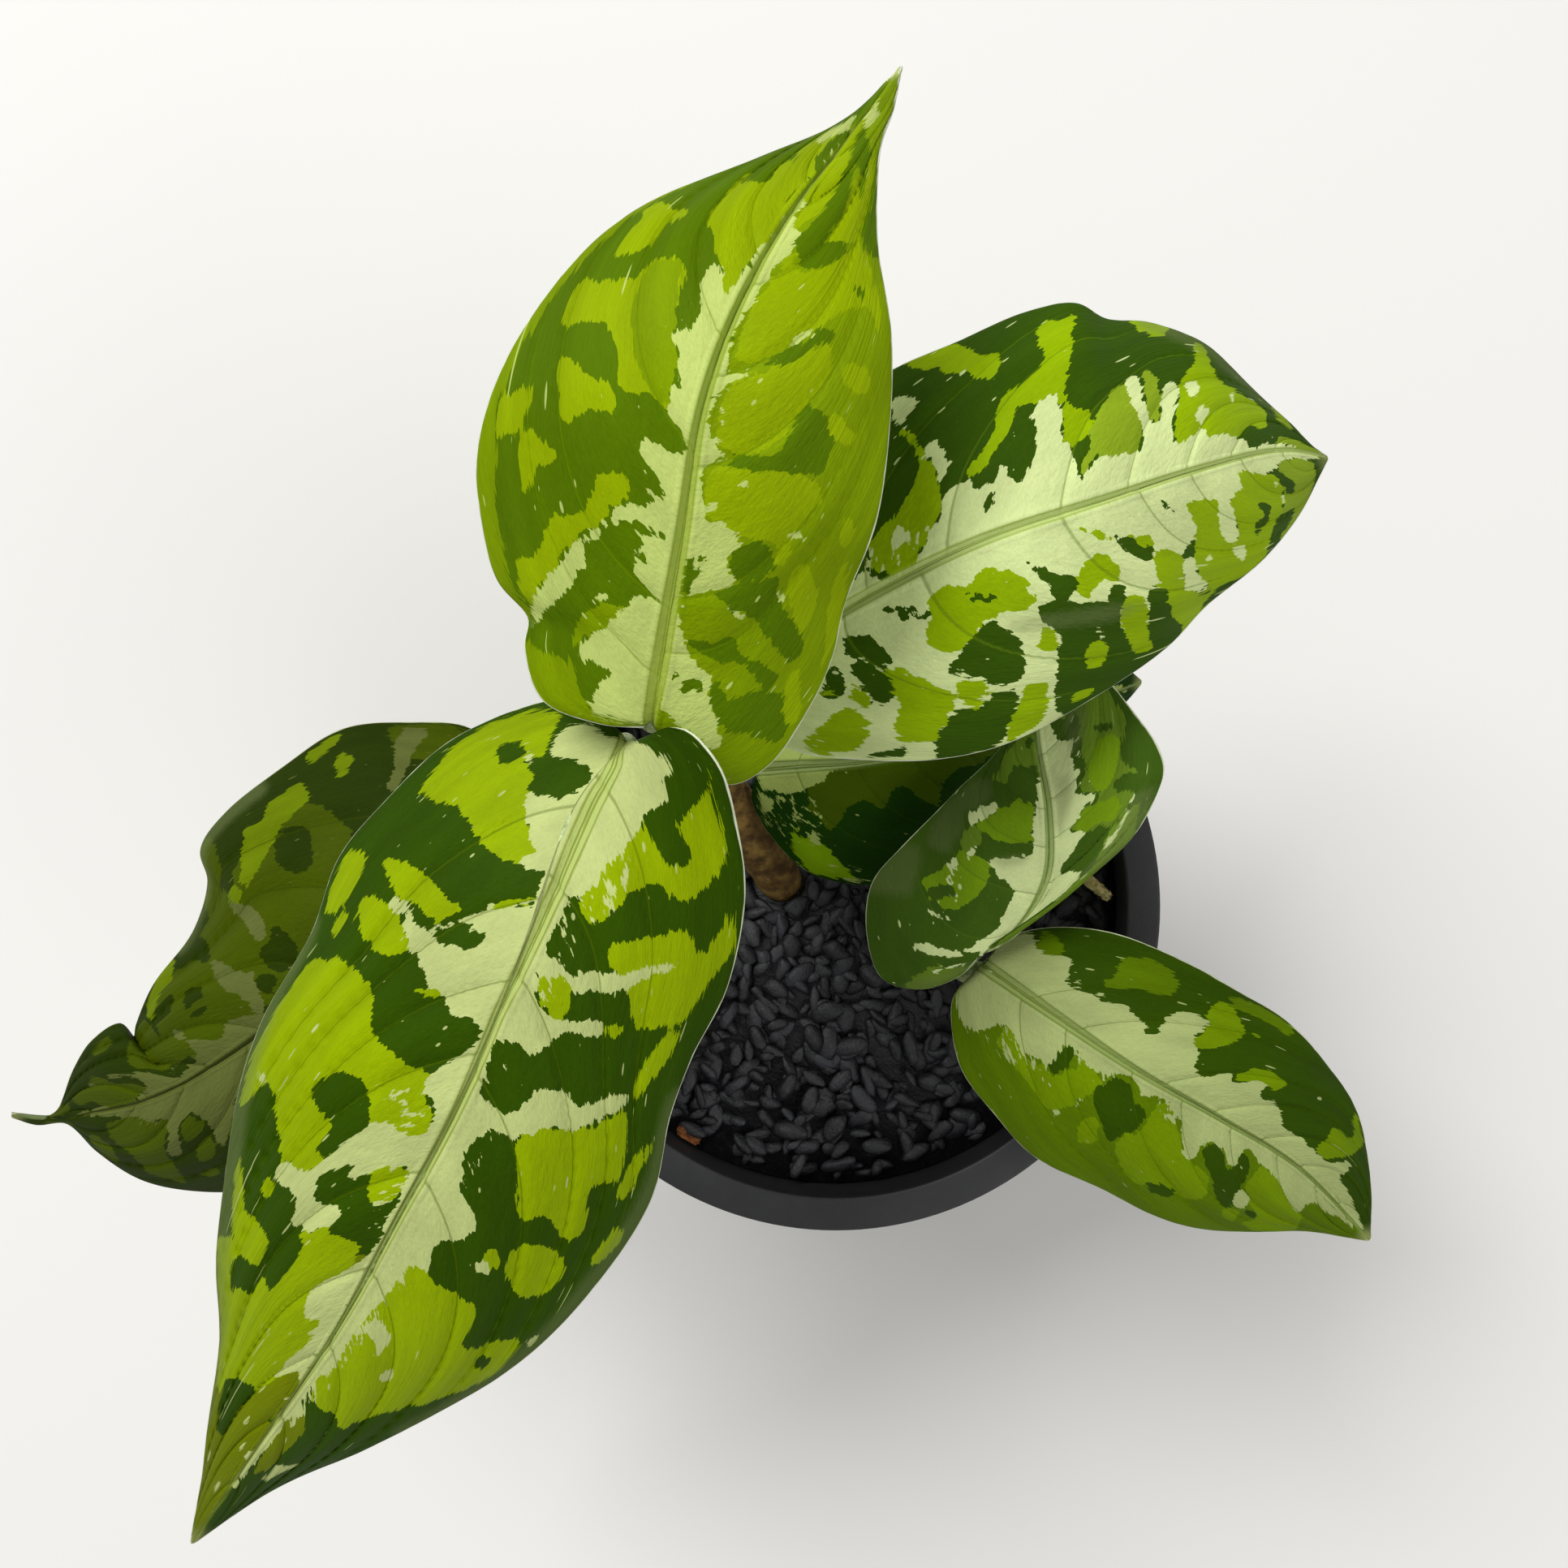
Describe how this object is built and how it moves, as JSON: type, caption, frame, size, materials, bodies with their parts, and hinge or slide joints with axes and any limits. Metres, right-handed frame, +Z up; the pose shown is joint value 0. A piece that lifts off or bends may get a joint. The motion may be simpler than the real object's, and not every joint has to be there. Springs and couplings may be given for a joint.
{
  "type": "potted aglaonema pictum plant",
  "caption": "Young foliage plant with pale-banded, camouflage-patterned leaves on two short canes, standing in a gravel-topped nursery pot.",
  "frame": {"origin": "middle of the pot's underside, on the surface that it stands on", "axes": "+Z up along the pot's axis, +Y towards the tip of the topmost leaf, +X to the right of that"},
  "size_m": [0.2367, 0.2075, 0.2205],
  "materials": {
    "pot_plastic": "moulded, matte dark grey",
    "potting_mix": "damp bark and fibre",
    "black_gravel": "dull, tumbled",
    "cane_bark": "ringed, dry brown bark",
    "cane_green": "smooth green and brown skin",
    "dry_stub": "dry, straw coloured",
    "bark": "rough orange-brown",
    "leaf_young": "satin, bright yellow-green with dark and pale patches",
    "leaf_mature": "satin, camouflage of pale, lime and dark green",
    "leaf_old": "satin, darker camouflage with a few scars"
  },
  "bodies": {
    "root": {"pot": "pot_plastic", "soil": "potting_mix", "gravel": "black_gravel", "main_cane": "cane_bark", "side_cane": "cane_green", "old_stub": "dry_stub", "bark_chip": "bark", "leaf_top": "leaf_young", "leaf_front": "leaf_mature", "leaf_right": "leaf_mature", "leaf_left": "leaf_old", "leaf_low": "leaf_old", "leaf_folded": "leaf_mature", "leaf_lower_right": "leaf_mature"}
  },
  "joints": []
}
